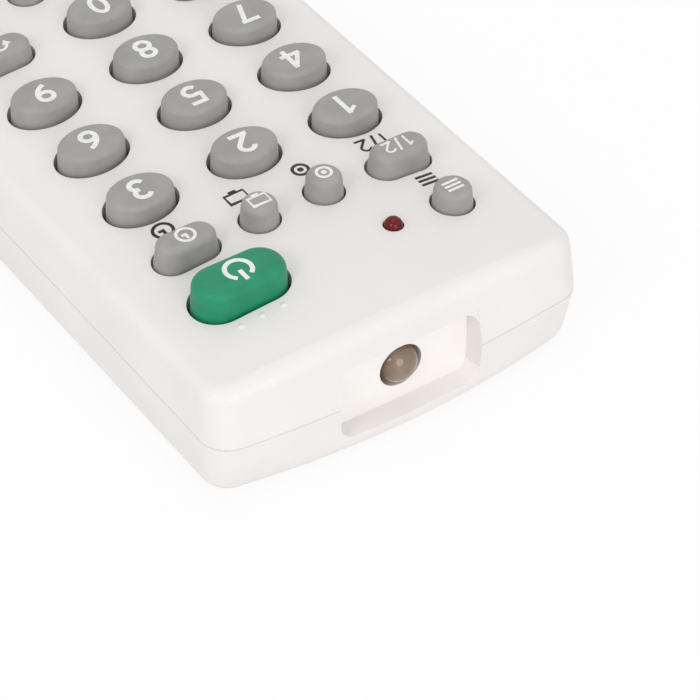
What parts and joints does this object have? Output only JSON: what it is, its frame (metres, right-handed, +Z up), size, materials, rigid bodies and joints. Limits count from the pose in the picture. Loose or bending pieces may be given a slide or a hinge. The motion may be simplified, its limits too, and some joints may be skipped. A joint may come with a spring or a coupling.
{
  "type": "universal remote control",
  "caption": "Infrared universal remote control: a white two-part case with rubber keys that press and a battery door that slides off.",
  "frame": {"origin": "centre of the footprint, on the underside that the remote rests on", "axes": "+X to the user's right, +Y to the infrared end, +Z up out of the key face"},
  "size_m": [0.0462, 0.1662, 0.0187],
  "materials": {
    "case_plastic": "fine satin",
    "key_rubber": "matte silicone",
    "power_rubber": "matte silicone",
    "board": "solder mask",
    "dark_plastic": "moulded",
    "ceramic": "dipped",
    "can": "drawn",
    "smoked_lens": "clear, dark",
    "red_lens": "clear, dark red",
    "cell_jacket": "film sleeve",
    "contact_steel": "nickel plated"
  },
  "bodies": {
    "case": {"upper_case": "case_plastic", "lower_case": "case_plastic", "circuit_board": "board", "keypad_mat": "key_rubber", "controller_chip": "dark_plastic", "resonator": "ceramic", "capacitor": "can", "drive_transistor": "dark_plastic", "resistors": "ceramic", "ir_light": "smoked_lens", "indicator_light": "red_lens", "cell_left": "cell_jacket", "cell_right": "cell_jacket", "front_spring": "contact_steel", "front_contact": "contact_steel", "bridge_contact": "contact_steel", "case_screws": "contact_steel"},
    "battery_door": {"battery_door": "case_plastic"},
    "key_power": {"key_power": "power_rubber"},
    "key_menu": {"key_menu": "key_rubber"},
    "key_input": {"key_input": "key_rubber"},
    "key_timer": {"key_timer": "key_rubber"},
    "key_scan": {"key_scan": "key_rubber"},
    "key_screen": {"key_screen": "key_rubber"},
    "key_one": {"key_one": "key_rubber"},
    "key_two": {"key_two": "key_rubber"},
    "key_three": {"key_three": "key_rubber"},
    "key_four": {"key_four": "key_rubber"},
    "key_five": {"key_five": "key_rubber"},
    "key_six": {"key_six": "key_rubber"},
    "key_seven": {"key_seven": "key_rubber"},
    "key_eight": {"key_eight": "key_rubber"},
    "key_nine": {"key_nine": "key_rubber"},
    "key_zero": {"key_zero": "key_rubber"},
    "key_dash": {"key_dash": "key_rubber"},
    "key_recall": {"key_recall": "key_rubber"},
    "key_sound": {"key_sound": "key_rubber"},
    "key_sleep": {"key_sleep": "key_rubber"},
    "key_mute": {"key_mute": "key_rubber"},
    "key_info": {"key_info": "key_rubber"},
    "key_channel_up": {"key_channel_up": "key_rubber"},
    "key_channel_down": {"key_channel_down": "key_rubber"},
    "key_volume_down": {"key_volume_down": "key_rubber"},
    "key_volume_up": {"key_volume_up": "key_rubber"},
    "key_confirm": {"key_confirm": "key_rubber"}
  },
  "joints": [
    {"name": "door_slide", "type": "slide", "parent": "case", "child": "battery_door", "axis": [0, -1, 0], "range_m": [0, 0.045]},
    {"name": "press_power", "type": "slide", "parent": "case", "child": "key_power", "axis": [0, 0, -1], "range_m": [0, 0.0009], "stiffness_N_per_m": 1500},
    {"name": "press_menu", "type": "slide", "parent": "case", "child": "key_menu", "axis": [0, 0, -1], "range_m": [0, 0.0009], "stiffness_N_per_m": 1500},
    {"name": "press_input", "type": "slide", "parent": "case", "child": "key_input", "axis": [0, 0, -1], "range_m": [0, 0.0009], "stiffness_N_per_m": 1500},
    {"name": "press_timer", "type": "slide", "parent": "case", "child": "key_timer", "axis": [0, 0, -1], "range_m": [0, 0.0009], "stiffness_N_per_m": 1500},
    {"name": "press_scan", "type": "slide", "parent": "case", "child": "key_scan", "axis": [0, 0, -1], "range_m": [0, 0.0009], "stiffness_N_per_m": 1500},
    {"name": "press_screen", "type": "slide", "parent": "case", "child": "key_screen", "axis": [0, 0, -1], "range_m": [0, 0.0009], "stiffness_N_per_m": 1500},
    {"name": "press_one", "type": "slide", "parent": "case", "child": "key_one", "axis": [0, 0, -1], "range_m": [0, 0.0009], "stiffness_N_per_m": 1500},
    {"name": "press_two", "type": "slide", "parent": "case", "child": "key_two", "axis": [0, 0, -1], "range_m": [0, 0.0009], "stiffness_N_per_m": 1500},
    {"name": "press_three", "type": "slide", "parent": "case", "child": "key_three", "axis": [0, 0, -1], "range_m": [0, 0.0009], "stiffness_N_per_m": 1500},
    {"name": "press_four", "type": "slide", "parent": "case", "child": "key_four", "axis": [0, 0, -1], "range_m": [0, 0.0009], "stiffness_N_per_m": 1500},
    {"name": "press_five", "type": "slide", "parent": "case", "child": "key_five", "axis": [0, 0, -1], "range_m": [0, 0.0009], "stiffness_N_per_m": 1500},
    {"name": "press_six", "type": "slide", "parent": "case", "child": "key_six", "axis": [0, 0, -1], "range_m": [0, 0.0009], "stiffness_N_per_m": 1500},
    {"name": "press_seven", "type": "slide", "parent": "case", "child": "key_seven", "axis": [0, 0, -1], "range_m": [0, 0.0009], "stiffness_N_per_m": 1500},
    {"name": "press_eight", "type": "slide", "parent": "case", "child": "key_eight", "axis": [0, 0, -1], "range_m": [0, 0.0009], "stiffness_N_per_m": 1500},
    {"name": "press_nine", "type": "slide", "parent": "case", "child": "key_nine", "axis": [0, 0, -1], "range_m": [0, 0.0009], "stiffness_N_per_m": 1500},
    {"name": "press_zero", "type": "slide", "parent": "case", "child": "key_zero", "axis": [0, 0, -1], "range_m": [0, 0.0009], "stiffness_N_per_m": 1500},
    {"name": "press_dash", "type": "slide", "parent": "case", "child": "key_dash", "axis": [0, 0, -1], "range_m": [0, 0.0009], "stiffness_N_per_m": 1500},
    {"name": "press_recall", "type": "slide", "parent": "case", "child": "key_recall", "axis": [0, 0, -1], "range_m": [0, 0.0009], "stiffness_N_per_m": 1500},
    {"name": "press_sound", "type": "slide", "parent": "case", "child": "key_sound", "axis": [0, 0, -1], "range_m": [0, 0.0009], "stiffness_N_per_m": 1500},
    {"name": "press_sleep", "type": "slide", "parent": "case", "child": "key_sleep", "axis": [0, 0, -1], "range_m": [0, 0.0009], "stiffness_N_per_m": 1500},
    {"name": "press_mute", "type": "slide", "parent": "case", "child": "key_mute", "axis": [0, 0, -1], "range_m": [0, 0.0009], "stiffness_N_per_m": 1500},
    {"name": "press_info", "type": "slide", "parent": "case", "child": "key_info", "axis": [0, 0, -1], "range_m": [0, 0.0009], "stiffness_N_per_m": 1500},
    {"name": "press_channel_up", "type": "slide", "parent": "case", "child": "key_channel_up", "axis": [0, 0, -1], "range_m": [0, 0.0009], "stiffness_N_per_m": 1500},
    {"name": "press_channel_down", "type": "slide", "parent": "case", "child": "key_channel_down", "axis": [0, 0, -1], "range_m": [0, 0.0009], "stiffness_N_per_m": 1500},
    {"name": "press_volume_down", "type": "slide", "parent": "case", "child": "key_volume_down", "axis": [0, 0, -1], "range_m": [0, 0.0009], "stiffness_N_per_m": 1500},
    {"name": "press_volume_up", "type": "slide", "parent": "case", "child": "key_volume_up", "axis": [0, 0, -1], "range_m": [0, 0.0009], "stiffness_N_per_m": 1500},
    {"name": "press_confirm", "type": "slide", "parent": "case", "child": "key_confirm", "axis": [0, 0, -1], "range_m": [0, 0.0009], "stiffness_N_per_m": 1500}
  ]
}
